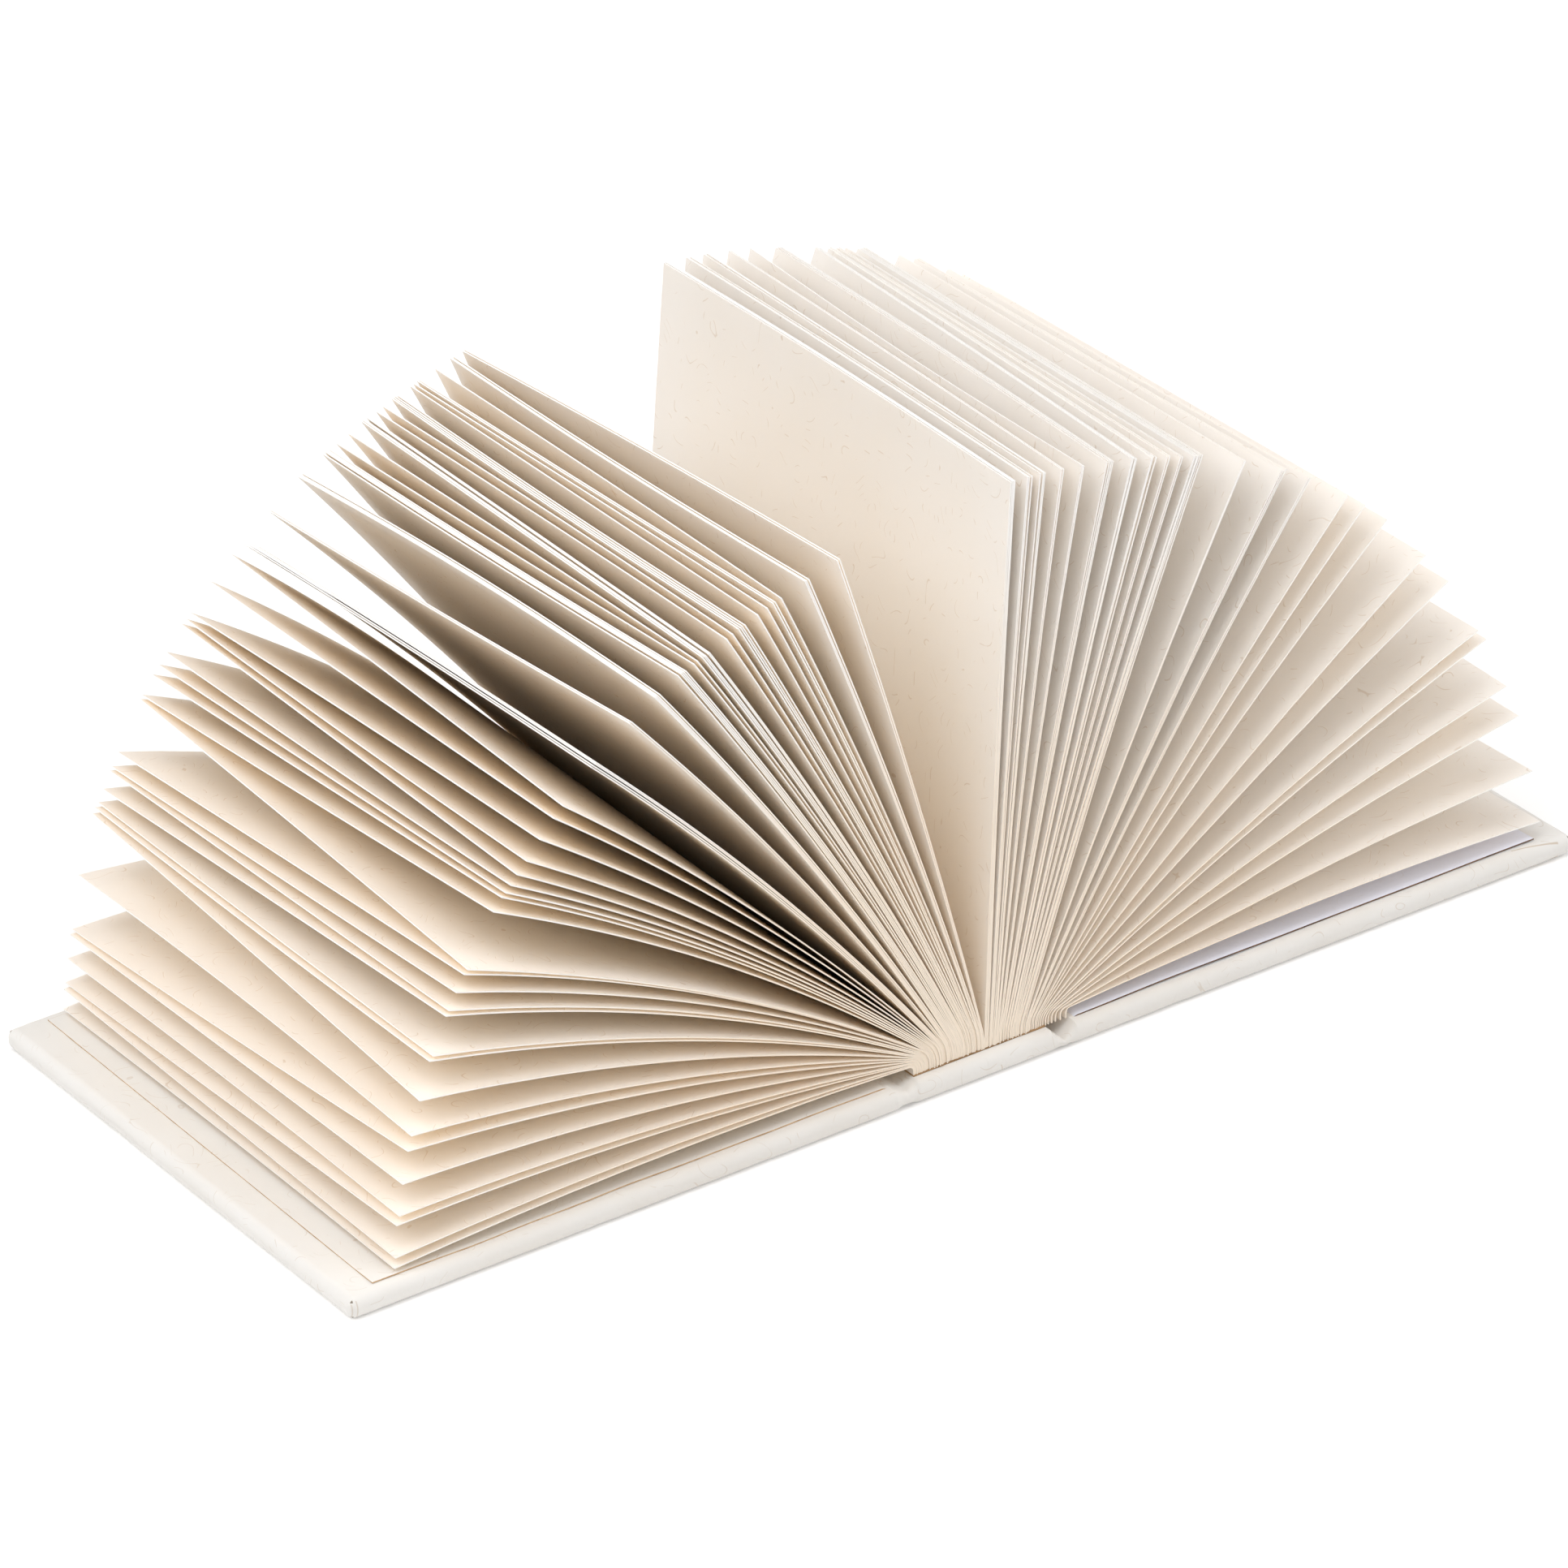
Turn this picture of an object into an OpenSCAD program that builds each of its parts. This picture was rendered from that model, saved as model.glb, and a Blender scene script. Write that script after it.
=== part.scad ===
// Small hard-cover notepad that lies open, with its leaves fanned out over the covers.
// X runs across the open pad, Y along the spine, Z up. The origin is on the table,
// under the middle of the spine.

/* [Pages] */
// Width of a page, from its glued back to its fore-edge
page_w = 75; // [60:1:110]
// Height of a page, along the spine
page_h = 75; // [60:1:110]
// Room that one sheet takes up in the glued back
sheet_t = 0.17; // [0.14:0.01:0.22]
// Depth of the back in which glue holds the sheets together
glued_depth = 0.8; // [0.5:0.1:2]
// Radius of the sharpest fold beside the glued back
fold_r = 0.6; // [0.4:0.1:1.2]

/* [Covers] */
// Thickness of the board in the covers and the spine
board_t = 2.6; // [2:0.1:4]
// Thickness of the paper wrapped round the boards
wrap_t = 0.2; // [0.15:0.05:0.4]
// Radius of the soft edges of the boards
edge_r = 0.9; // [0.5:0.05:0.95]
// Radius of the boards' corners, seen from above
corner_r = 1.1; // [0.5:0.1:3]
// Reach of the covers past the fore-edge of the closed pages
fore_square = 2.6; // [1:0.1:6]
// Reach of the covers past the pages at head and tail
end_square = 1.75; // [1:0.05:6]
// Width of the wrap that is turned in over the boards
turn_in = 12; // [6:1:18]
// Thickness of the sheet pasted down inside each cover
pastedown_t = 0.15; // [0.1:0.05:0.3]
// Strip of wrap left bare between a pastedown and the fore-edge
pastedown_margin = 4; // [1.5:0.5:8]

/* [Spine] */
// Room between the pages and each long edge of the spine
spine_margin = 0.1; // [0.05:0.05:1]
// How much wider each joint groove is than a cover is thick
groove_slack = 0.5; // [0.4:0.1:2]
// Cut between the two halves of the paper in each joint
joint_cut = 0.4; // [0.3:0.1:0.8]

/* [Hidden] */

// The fan on each side, from the lowest leaf up to the gap in the middle. A row holds the
// leaves, the sheets in each leaf, and then, from the row's first leaf to its last, the tilt
// at the near end, the tilt at the far end and the bend. Tilts are degrees from upright.
ROW_LEAVES = 0;
ROW_SHEETS = 1;
ROW_NEAR = 2;
ROW_FAR = 3;
ROW_BEND = 4;
left_fan = [
    [4, 1, [90.6, 86], [90.6, 85.5], [8, 10]],
    [11, 1, [82.5, 62], [83, 60], [12, 16]],
    [7, 1, [57, 49], [59, 51], [15, 12]],
    [6, 2, [47, 32.5], [47, 33.5], [11, 8]],
    [14, 2, [31, 15.5], [31.5, 17.5], [7, 4]]
];
right_fan = [
    [7, 1, [89, 53], [89, 52], [8, 6]],
    [7, 2, [47, 27], [46, 30], [5, 4]],
    [16, 2, [23, 3.5], [26, 5], [4, 2]]
];
// What the list of single leaves holds for each of them
LEAF_PLACE = 0;
LEAF_SHEETS = 1;
LEAF_NEAR = 2;
LEAF_FAR = 3;
LEAF_BEND = 4;

// Part of a sheet's room that the paper fills, the rest is air between the leaves
paper_share = 0.7;
// Unevenness of the leaves' spacing, as a part of one space
uneven_share = 0.3;
// Turn between one leaf's unevenness and the next one's
uneven_turn = 137;
// Straight stretches that stand for the fold at a leaf's root and for its free part
fold_steps = 2;
free_steps = 4;
// Points along one side of a leaf, and along one side of the glued back
side_points = fold_steps + free_steps + 1;
back_points = 2;
// How far a cut runs past the surface that it opens
overrun = wrap_t;
$fn = 48;

left_sheets = sheets_before(left_fan, len(left_fan));
right_sheets = sheets_before(right_fan, len(right_fan));
block_t = (left_sheets + right_sheets) * sheet_t;
cover_t = board_t + 2 * wrap_t;
cover_h = page_h + 2 * end_square;
spine_w = block_t + 2 * spine_margin;
groove_w = cover_t + groove_slack;
hinge_x = (spine_w + groove_w) / 2;
hinge_z = cover_t / 2;
// A closed cover stands on the hinge and reaches past the pages by fore_square
cover_w = page_w + fore_square + cover_t - hinge_z - groove_w / 2;
cover_x = hinge_x + groove_w / 2;
window_w = cover_w - wrap_t - turn_in;
window_h = cover_h - 2 * turn_in;
root_z = cover_t + glued_depth;

paper_colour = "#ece4d6";
white_colour = "#e0dfe6";
board_colour = "#a8977c";
lining_colour = "#b08d5e";

function mix(ends, share) = ends[0] + (ends[1] - ends[0]) * share;

// Sheets in all rows of a fan before the given one
function sheets_before(fan, row) =
    row == 0 ? 0 : sheets_before(fan, row - 1) + fan[row - 1][ROW_LEAVES] * fan[row - 1][ROW_SHEETS];

// Place of a leaf between the first and last of its row, 0 to 1, a little uneven
function spread_share(leaf, leaves) =
    let (uneven = leaf == 0 || leaf == leaves - 1 ? 0 : uneven_share * sin(leaf * uneven_turn))
    (leaf + uneven) / (leaves - 1);

// All leaves of one side's fan, each with its place counted in sheets from the outer one
function fan_leaves(fan) = [
    for (row = [0 : len(fan) - 1])
        for (leaf = [0 : fan[row][ROW_LEAVES] - 1])
            let (r = fan[row], share = spread_share(leaf, r[ROW_LEAVES]))
            [
                sheets_before(fan, row) + (leaf + 1 / 2) * r[ROW_SHEETS],
                r[ROW_SHEETS],
                mix(r[ROW_NEAR], share),
                mix(r[ROW_FAR], share),
                mix(r[ROW_BEND], share)
            ]
];

// Length of a chord over the arc of the same bend, as a part of the arc
function chord_share(half_bend) = half_bend == 0 ? 1 : sin(half_bend) / (half_bend * PI / 180);

// One side of a leaf from root to tip, measured from the middle of its fold. The leaf folds
// round that middle until it leans enough, and then runs on as a flat arc.
function leaf_side(leaf, tilt, side) =
    let (
        rho = fold_r + leaf[LEAF_PLACE] * sheet_t,
        half_t = side * leaf[LEAF_SHEETS] * sheet_t * paper_share / 2,
        bend = leaf[LEAF_BEND],
        swing = tilt - bend / 2,
        free_w = page_w - glued_depth - rho * swing * PI / 180
    )
    concat(
        [for (k = [0 : fold_steps])
            let (turn = swing * k / fold_steps)
            (rho + half_t) * [cos(turn), sin(turn)]],
        [for (k = [1 : free_steps])
            let (
                half_bend = bend * k / free_steps / 2,
                chord = free_w * k / free_steps * chord_share(half_bend),
                lean = swing + half_bend,
                turn = swing + 2 * half_bend
            )
            rho * [cos(swing), sin(swing)] + chord * [-sin(lean), cos(lean)]
                + half_t * [cos(turn), sin(turn)]]
    );

function reversed(list) = [for (k = [len(list) - 1 : -1 : 0]) list[k]];

// Outline of a leaf of the left fan, up its outer side and down its inner one
function left_outline(leaf, tilt) = [
    for (p = concat(leaf_side(leaf, tilt, -1), reversed(leaf_side(leaf, tilt, 1))))
        [p.x - block_t / 2 - fold_r, p.y + root_z]
];

// Outline of a leaf of the right fan, its mirror image in the same order
function right_outline(leaf, tilt) = [
    for (p = reversed(left_outline(leaf, tilt))) [-p.x, p.y]
];

// Section through the pages at one end: the glued back with every leaf that rises from it
function block_outline(left_leaves, right_leaves, end) = concat(
    [[-block_t / 2, cover_t], [-block_t / 2, root_z]],
    [for (leaf = left_leaves) each left_outline(leaf, leaf[end])],
    [for (leaf = reversed(right_leaves)) each right_outline(leaf, leaf[end])],
    [[block_t / 2, root_z], [block_t / 2, cover_t]]
);

// True for the stretch of the outline that runs back down a leaf, after its tip
function on_inner_side(k) = (k - back_points) % (2 * side_points) >= side_points;

// Faces of one end of the pages, by the numbers of the outline's points: a strip for each leaf,
// and triangles for the glued back, from its two lower corners to the roots of the leaves
function end_faces(n, left_count, leaf_count) =
    let (
        firsts = [for (leaf = [0 : leaf_count - 1]) back_points + leaf * 2 * side_points],
        roots = concat([1], [for (first = firsts) each [first, first + 2 * side_points - 1]], [n - 2]),
        middle = 2 * left_count
    )
    concat(
        [for (first = firsts, k = [0 : side_points - 2])
            let (across = first + 2 * side_points - 1 - k)
            [first + k, first + k + 1, across - 1, across]],
        [for (k = [0 : middle - 1]) [0, roots[k], roots[k + 1]]],
        [[0, roots[middle], n - 1]],
        [for (k = [middle : len(roots) - 2]) [n - 1, roots[k], roots[k + 1]]]
    );

// Solid between two outlines of the same number of points, at the two ends of the pages.
// Both sides of a leaf are split along the same diagonals, so a twisted leaf keeps its thickness.
module loft(near, far, depth, near_faces) {
    n = len(near);
    points = concat(
        [for (p = near) [p.x, -depth / 2, p.y]],
        [for (p = far) [p.x, depth / 2, p.y]]
    );
    sides = [
        for (k = [0 : n - 1])
            let (next = (k + 1) % n)
            each (on_inner_side(k)
                ? [[k, k + n, next], [next, k + n, next + n]]
                : [[k, k + n, next + n], [k, next + n, next]])
    ];
    far_faces = [for (face = near_faces) [for (k = reversed(face)) k + n]];
    polyhedron(points, concat(near_faces, far_faces, sides));
}

module round_rect(w, h, r) {
    translate([r, 0]) square([w - 2 * r, h]);
    translate([0, r]) square([w, h - 2 * r]);
    for (x = [r, w - r], y = [r, h - r])
        translate([x, y]) circle(r);
}

// Plate from x = 0, with soft edges of radius r and corners of radius plan_r
module soft_plate(w, h, t, r, plan_r) {
    intersection() {
        translate([0, h / 2, 0]) rotate([90, 0, 0]) linear_extrude(h) round_rect(w, t, r);
        translate([0, -h / 2, 0]) rotate([90, 0, 90]) linear_extrude(w) round_rect(h, t, r);
        translate([0, -h / 2, 0]) linear_extrude(t) round_rect(w, h, plan_r);
    }
}

module board(w) {
    translate([wrap_t, 0, wrap_t])
        soft_plate(w - 2 * wrap_t, cover_h - 2 * wrap_t, board_t, edge_r, corner_r - wrap_t);
}

// Paper round a board, with a window inside between its turned-in edges
module wrap(w, window_x, window_w) {
    difference() {
        soft_plate(w, cover_h, cover_t, edge_r + wrap_t, corner_r);
        board(w);
        translate([window_x, -window_h / 2, cover_t - wrap_t - overrun])
            cube([window_w, window_h, wrap_t + 2 * overrun]);
    }
}

// Half of the paper in a joint groove, from the edge of a wrap to the hinge line
module joint_paper() {
    translate([0, -cover_h / 2 + corner_r, hinge_z - wrap_t / 2])
        cube([(groove_w - joint_cut) / 2 + wrap_t / 2, cover_h - 2 * corner_r, wrap_t]);
}

module cover_board() {
    color(board_colour) translate([cover_x, 0, 0]) board(cover_w);
}

module cover_wrap() {
    color(paper_colour) {
        translate([cover_x, 0, 0]) wrap(cover_w, wrap_t, window_w);
        translate([hinge_x + joint_cut / 2, 0, 0]) joint_paper();
    }
}

// Sheet pasted inside a cover: it lies on the turned-in edges and dips into the window
module cover_pastedown(sheet_colour) {
    sheet_w = cover_w - pastedown_margin - edge_r;
    dip_w = window_w + wrap_t - edge_r;
    dip_z = cover_t - wrap_t;
    color(sheet_colour) translate([cover_x + edge_r, 0, 0]) difference() {
        union() {
            translate([0, -page_h / 2, cover_t]) cube([sheet_w, page_h, pastedown_t]);
            translate([0, -window_h / 2, dip_z]) cube([dip_w, window_h, wrap_t + pastedown_t]);
        }
        translate([pastedown_t, -window_h / 2 + pastedown_t, dip_z + pastedown_t])
            cube([dip_w - 2 * pastedown_t, window_h - 2 * pastedown_t, wrap_t + overrun]);
    }
}

module spine_board() {
    color(board_colour) translate([-spine_w / 2, 0, 0]) board(spine_w);
}

module spine_wrap() {
    color(paper_colour) {
        translate([-spine_w / 2, 0, 0]) wrap(spine_w, edge_r + wrap_t, spine_w - 2 * (edge_r + wrap_t));
        for (side = [0, 1])
            mirror([side, 0, 0])
                translate([spine_w / 2 - wrap_t / 2, 0, 0]) joint_paper();
    }
}

// Lining glued between the spine board and the back of the pages
module spine_lining() {
    color(lining_colour)
        translate([-spine_w / 2 + edge_r + wrap_t, -window_h / 2, cover_t - wrap_t])
            cube([spine_w - 2 * (edge_r + wrap_t), window_h, wrap_t]);
}

module page_block() {
    left_leaves = fan_leaves(left_fan);
    right_leaves = fan_leaves(right_fan);
    near = block_outline(left_leaves, right_leaves, LEAF_NEAR);
    far = block_outline(left_leaves, right_leaves, LEAF_FAR);
    faces = end_faces(len(near), len(left_leaves), len(left_leaves) + len(right_leaves));
    color(paper_colour) loft(near, far, page_h, faces);
}

module front_board() {
    mirror([1, 0, 0]) cover_board();
}

module front_wrap() {
    mirror([1, 0, 0]) cover_wrap();
}

module front_pastedown() {
    mirror([1, 0, 0]) cover_pastedown(paper_colour);
}

module back_board() {
    cover_board();
}

module back_wrap() {
    cover_wrap();
}

module back_pastedown() {
    cover_pastedown(white_colour);
}

spine_board();
spine_wrap();
spine_lining();
page_block();
front_board();
front_wrap();
front_pastedown();
back_board();
back_wrap();
back_pastedown();
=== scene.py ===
"""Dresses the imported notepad: fanned leaves, cover paper, pastedowns, stage and camera."""
import math

import bpy
import numpy as np
from bpy.props import FloatProperty, FloatVectorProperty, PointerProperty
from mathutils import Matrix, Vector


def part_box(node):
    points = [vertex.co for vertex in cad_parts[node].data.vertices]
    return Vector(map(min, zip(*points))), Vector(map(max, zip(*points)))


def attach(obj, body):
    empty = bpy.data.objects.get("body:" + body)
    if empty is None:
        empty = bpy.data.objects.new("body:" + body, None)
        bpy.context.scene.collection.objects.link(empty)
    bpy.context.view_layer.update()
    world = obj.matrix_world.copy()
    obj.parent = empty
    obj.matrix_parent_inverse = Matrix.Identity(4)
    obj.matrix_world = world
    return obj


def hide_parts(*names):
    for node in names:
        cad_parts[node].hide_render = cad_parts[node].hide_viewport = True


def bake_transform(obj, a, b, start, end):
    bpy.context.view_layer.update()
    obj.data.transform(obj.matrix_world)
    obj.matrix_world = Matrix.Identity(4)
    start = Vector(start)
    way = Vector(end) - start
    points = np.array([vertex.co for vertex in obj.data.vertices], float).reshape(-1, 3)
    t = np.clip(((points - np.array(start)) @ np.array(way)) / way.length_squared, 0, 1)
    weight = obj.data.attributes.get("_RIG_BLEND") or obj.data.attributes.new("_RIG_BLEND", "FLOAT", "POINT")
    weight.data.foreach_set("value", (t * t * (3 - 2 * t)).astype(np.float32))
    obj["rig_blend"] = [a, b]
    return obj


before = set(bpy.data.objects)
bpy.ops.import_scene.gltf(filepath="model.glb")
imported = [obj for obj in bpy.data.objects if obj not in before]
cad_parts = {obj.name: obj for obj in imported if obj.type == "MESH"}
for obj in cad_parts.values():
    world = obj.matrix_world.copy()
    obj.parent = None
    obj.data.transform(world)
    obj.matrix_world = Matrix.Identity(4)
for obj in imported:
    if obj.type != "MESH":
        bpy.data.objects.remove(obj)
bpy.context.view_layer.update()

bl_info = {
    "name": "Open notepad",
    "version": (1, 0, 0),
    "blender": (4, 5, 0),
    "location": "View3D > Sidebar > Notepad",
    "description": "Builds the leaves, cover paper and stage of an open notepad on its frame",
    "category": "Object",
}

PAGE_LOW, PAGE_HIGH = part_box("page_block")
COVER_LOW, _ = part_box("back_board")
_, WRAP_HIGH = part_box("back_wrap")
_, SPINE_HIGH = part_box("spine_board")
PASTE_LOW, PASTE_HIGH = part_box("back_pastedown")
MM = 0.001

# Bunches of sheets from the lowest one up to the gap in the middle: sheets in the bunch,
# tilt from upright at the near and the far end, and bend along the page, in degrees
LEFT_BUNCHES = (
    (1, 90.5, 90.5, 7), (1, 89.6, 88.5, 8), (1, 86.4, 88.0, 9), (1, 85.6, 85.6, 10),
    (1, 82.5, 83.2, 12), (1, 79.3, 82.8, 13), (1, 77.9, 77.2, 14), (1, 74.5, 70.9, 15),
    (1, 70.7, 70.4, 15), (1, 70.3, 70.0, 15), (1, 66.4, 68.7, 16), (1, 66.0, 66.9, 16),
    (1, 64.3, 66.6, 16), (1, 62.6, 65.2, 16), (1, 62.2, 59.6, 15), (1, 56.4, 59.3, 15),
    (1, 55.0, 57.2, 14), (1, 54.6, 56.2, 14), (1, 53.9, 54.9, 14), (1, 52.9, 51.9, 13),
    (1, 51.5, 51.4, 13), (1, 49.3, 50.8, 12), (1, 47.1, 47.3, 11), (1, 45.8, 44.1, 11),
    (4, 41.4, 42.7, 10), (2, 36.6, 39.1, 9), (4, 33.5, 34.9, 8), (5, 30.9, 32.0, 7),
    (1, 29.9, 31.1, 7), (1, 29.6, 29.7, 7), (5, 29.0, 27.9, 7), (1, 26.9, 26.9, 6),
    (1, 26.3, 26.2, 6), (4, 25.5, 25.0, 6), (1, 23.9, 23.4, 5), (1, 22.9, 23.1, 5),
    (2, 22.2, 22.7, 5), (1, 21.6, 20.8, 5), (3, 18.8, 19.0, 4), (2, 15.4, 17.9, 4),
)
RIGHT_BUNCHES = (
    (1, 89.3, 89.3, 7), (1, 83.4, 84.0, 8), (1, 76.7, 78.0, 8), (1, 72.8, 72.5, 8),
    (1, 66.5, 66.5, 8), (1, 65.1, 63.0, 8), (1, 57.7, 57.5, 7), (1, 53.2, 52.5, 7),
    (1, 46.3, 45.5, 6), (1, 42.9, 41.0, 6), (1, 40.3, 37.4, 6), (2, 35.0, 35.7, 5),
    (3, 31.8, 31.6, 5), (2, 26.9, 29.6, 4), (6, 21.6, 25.2, 4), (2, 20.2, 23.9, 4),
    (2, 18.9, 23.1, 4), (3, 17.4, 22.5, 4), (4, 15.6, 21.4, 3), (4, 13.3, 17.1, 3),
    (2, 10.5, 14.1, 3), (2, 8.4, 11.8, 3), (3, 6.5, 9.3, 2), (3, 5.4, 7.6, 2),
    (4, 4.0, 5.5, 2),
)

# Painted shade in folds of the cover paper, drawn as thin darker lines: depth of tone, the axes that count,
# the two ends and the width in millimetres
CREASE_SHADES = (
    (0.55, (1, 1, 0), (88.3, -39.0, 0), (81.8, -37.9, 0), 0.13),
    (0.35, (1, 0, 1), (-89.75, 0, 2.5), (-89.75, 0, 0.4), 0.12),
    (0.30, (1, 0, 1), (-90.35, 0, 2.2), (-90.35, 0, 0.6), 0.10),
    (0.35, (1, 0, 1), (1.9, 0, 1.3), (2.3, 0, 0.3), 0.12),
)

# Lamps: name, azimuth and height in degrees, strength
LAMPS = (
    ("left_lamp", 180, 55, 1.34),
    ("back_left_lamp", 135, 25, 0.46),
    ("front_left_lamp", 225, 25, 0.18),
    ("right_lamp", 315, 36, 1.08),
    ("top_lamp", 0, 90, 0.86),
)
LAMP_SPREAD = 50
SKY_LIGHT = 0.22
FLOOR_GLOW = 0.1

# Tones that a colour is multiplied by: cloudy spots of a paper, painted shade on the cut edges near the glued
# back, and painted warm shade in the paper as light meets it that has already bounced, warmer on the left fan
CLOUD_TINT = (0.985, 0.977, 0.965)
EDGE_SHADE_TINT = (0.97, 0.89, 0.80)
LEFT_WARM_SHADE_TINT = (1.0, 0.92, 0.79)
RIGHT_WARM_SHADE_TINT = (1.0, 0.957, 0.90)
# Share of the page width, from the glued back, over which the painted shade of the pages fades out
GUTTER_SHARE = 0.75
LIGHT_THROUGH = 0.22
MARK_DEPTH = 0.36

# How much shorter the stretch that bends is on a sheet that lies flat on its cover
FLAT_SHEET_CUT = 0.82

# Degrees between neighbouring sheets of a bunch: the usual step, the largest and the smallest
SPLAY_MEAN, SPLAY_MOST, SPLAY_LEAST = 0.055, 0.2, 0.008
# How far single sheets are cut or laid off their place, and how many sheets share the spread root
CUT_SPREAD = 0.00004
SPREAD_SHEETS = 4.5
# How far the middle of a bunch may bow: share of the room to the next one, and degrees at most
BOW_SHARE, BOW_MOST = 0.4, 1.1
# Share of the glued depth that the sheets reach down, and what they lack at each end of the block
GLUED_REACH = 0.85
PAGE_TRIM = 0.00012

# Cover paper: its thickness in metres, and the fold at the covers' outer corners with its place
# from the fore-edge, width and depth
WRAP_THICKNESS = 0.0002
FOLD_AT, FOLD_WIDTH, FOLD_DEPTH = 0.97 * MM, 0.08 * MM, 0.00006

# Pasted sheets: points across, reach into the joint and how far they sink there, depth of the step
# where the turned-in paper ends and the length that it takes, width of the loose near edge and the
# length in which it comes loose, wander of the cut edges, and trim and slant of the outer edge
# with the length that both take
PASTE_ACROSS = 61
JOINT_REACH, JOINT_SINK = 0.0012, 0.0007
STEP_DEPTH, STEP_EASE = 0.00008, 0.0022
LOOSE_EDGE, LOOSE_EASE = 0.0045, 0.012
PASTE_WANDER = 0.00008
PASTE_TRIM, PASTE_SLANT, TRIM_EASE = 0.0006, 0.012, 0.03
# Dark and light tone painted on their cut edges: a painted shadow line along the edges of the pasted sheets
PALE_EDGE_SHADOW = ((0.50, 0.33, 0.19), (0.68, 0.50, 0.33))
BROWN_EDGE_SHADOW = ((0.10, 0.06, 0.035), (0.22, 0.13, 0.075))

# Line of glue under the leaves: radius of its edges, what it lacks at each end of the pages, wander
# of its ends, and reach below and above the foot of the pages
GLUE_ROUND, GLUE_TRIM, GLUE_WANDER = 0.00008, 0.00006, 0.00002
GLUE_BELOW, GLUE_ABOVE = 0.00005, 0.00024

# Half the floor's width, its depth under the pad, and grid lines each way
FLOOR_REACH, FLOOR_DROP, FLOOR_LINES = 6, 0.00002, 5
# Light reaches the gaps between the leaves only after many bounces
MAX_BOUNCES, DIFFUSE_BOUNCES = 12, 10


def length(name, about, default):
    """A size in metres that a user may change."""
    return FloatProperty(name=name, description=about, default=default, unit="LENGTH", precision=5)


def colour(name, about, default):
    """A linear colour that a user may change."""
    return FloatVectorProperty(
        name=name, description=about, default=default, subtype="COLOR", size=3, min=0, max=1
    )


class LeafSizes(bpy.types.PropertyGroup):
    """Sizes of the sheets and their glued back."""

    page_width: length("Page width", "From the glued back to the fore-edge", 0.075)
    page_height: length("Page height", "Along the spine", PAGE_HIGH.y - PAGE_LOW.y)
    pitch: length("Pitch", "Room that one sheet takes up in the glued back", 0.00017)
    thickness: length("Thickness", "Thickness of one sheet", 0.000163)
    glued_depth: length("Glued depth", "Depth of the back that glue holds together", 0.0008)
    fold_radius: length("Fold radius", "Radius of the sharpest fold beside the back", 0.0006)
    bend_reach: length("Bend reach", "Stretch of a sheet that bends as a cover moves", 0.02)
    ragged: length("Ragged edge", "How far the cut edges wander", 0.00002)
    spread: length("Spread", "How far the last sheet's root has moved onto the joint", 0.0036)


class CoverSizes(bpy.types.PropertyGroup):
    """Sizes of the covers and the paper round them."""

    edge_radius: length("Edge radius", "Radius of the covers' soft edges", 0.00125)
    corner_radius: length("Corner radius", "Radius of the corners from above", 0.0010)
    groove_depth: length("Groove depth", "Depth of the joint grooves on the inside", 0.0018)
    pinch: length("Pinch", "Depth of the joint grooves on the outside", 0.0004)
    unevenness: length("Unevenness", "How far the wrapped surface wanders", 0.00006)
    paste_thickness: length("Pastedown thickness", "Thickness of the pasted sheets", 0.00015)
    turn_in: length("Turn-in", "Width of the paper turned in over the boards", 0.012)


class Finishes(bpy.types.PropertyGroup):
    """Colours of the papers, the glue and the boards, and the painted shade on the pages near their glued
    back.
    """

    page: colour("Page", "Uncoated page paper", (0.985, 0.979, 0.97))
    edge: colour("Edge", "Cut edges of the pages", (0.99, 0.983, 0.972))
    # Painted shade: the page colour near the glued back, where the gaps between the sheets are deepest
    gutter_shade: colour("Gutter", "Page paper near its glued back", (0.97, 0.93, 0.87))
    glow: colour("Glow", "Light that comes through a page", (1.0, 0.96, 0.90))
    cover: colour("Cover", "Paper round the covers", (0.828, 0.808, 0.780))
    white: colour("White", "Sheet pasted inside the back cover", (0.87, 0.895, 1.0))
    fibre: colour("Fibre", "Fibres and specks in the papers", (0.50, 0.36, 0.22))
    glue: colour("Glue", "Glue and lining of the spine", (0.42, 0.26, 0.13))
    board: colour("Board", "Grey board inside the covers", (0.34, 0.29, 0.23))


class StageSettings(bpy.types.PropertyGroup):
    """Colour of the floor, and the camera's lens and place."""

    floor: colour("Floor", "Pale floor", (0.97, 0.97, 0.97))
    lens: FloatProperty(name="Lens", description="Focal length in millimetres", default=196.39)
    yaw: FloatProperty(
        name="Yaw", description="Turn of the camera round the pad", default=math.radians(-34.059),
        subtype="ANGLE"
    )
    pitch: FloatProperty(
        name="Pitch", description="Height of the camera as an angle", default=math.radians(28.706),
        subtype="ANGLE"
    )
    roll: FloatProperty(
        name="Roll", description="Lean of the camera", default=math.radians(-1.695), subtype="ANGLE"
    )
    distance: length("Distance", "From the aim point to the camera", 1.0323)
    aim: FloatVectorProperty(
        name="Aim", description="Point that the camera looks at",
        default=(-0.00797, -0.00894, 0.030), subtype="TRANSLATION", unit="LENGTH"
    )


def ripple(u, v, seed, waves=7):
    """Gentle unevenness between about -1 and 1: a sum of sine waves over u and v, whose
    directions, lengths and phases are drawn from the seed."""
    rng = np.random.default_rng(seed)
    total = np.zeros(np.broadcast(u, v).shape)
    for _ in range(waves):
        heading, phase = rng.uniform(0, 2 * math.pi, 2)
        total = total + np.sin(
            rng.uniform(0.5, 1.6) * (u * math.cos(heading) + v * math.sin(heading)) + phase
        )
    return total / math.sqrt(waves)


def tinted(base, tint):
    """The colour multiplied by the tint, channel by channel."""
    return [c * f for c, f in zip(base, tint)]


def smooth_step(share):
    """Rises from 0 to 1 with level ends: 3t^2 - 2t^3 of the share clipped to 0..1."""
    share = np.clip(share, 0, 1)
    return share * share * (3 - 2 * share)


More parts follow.
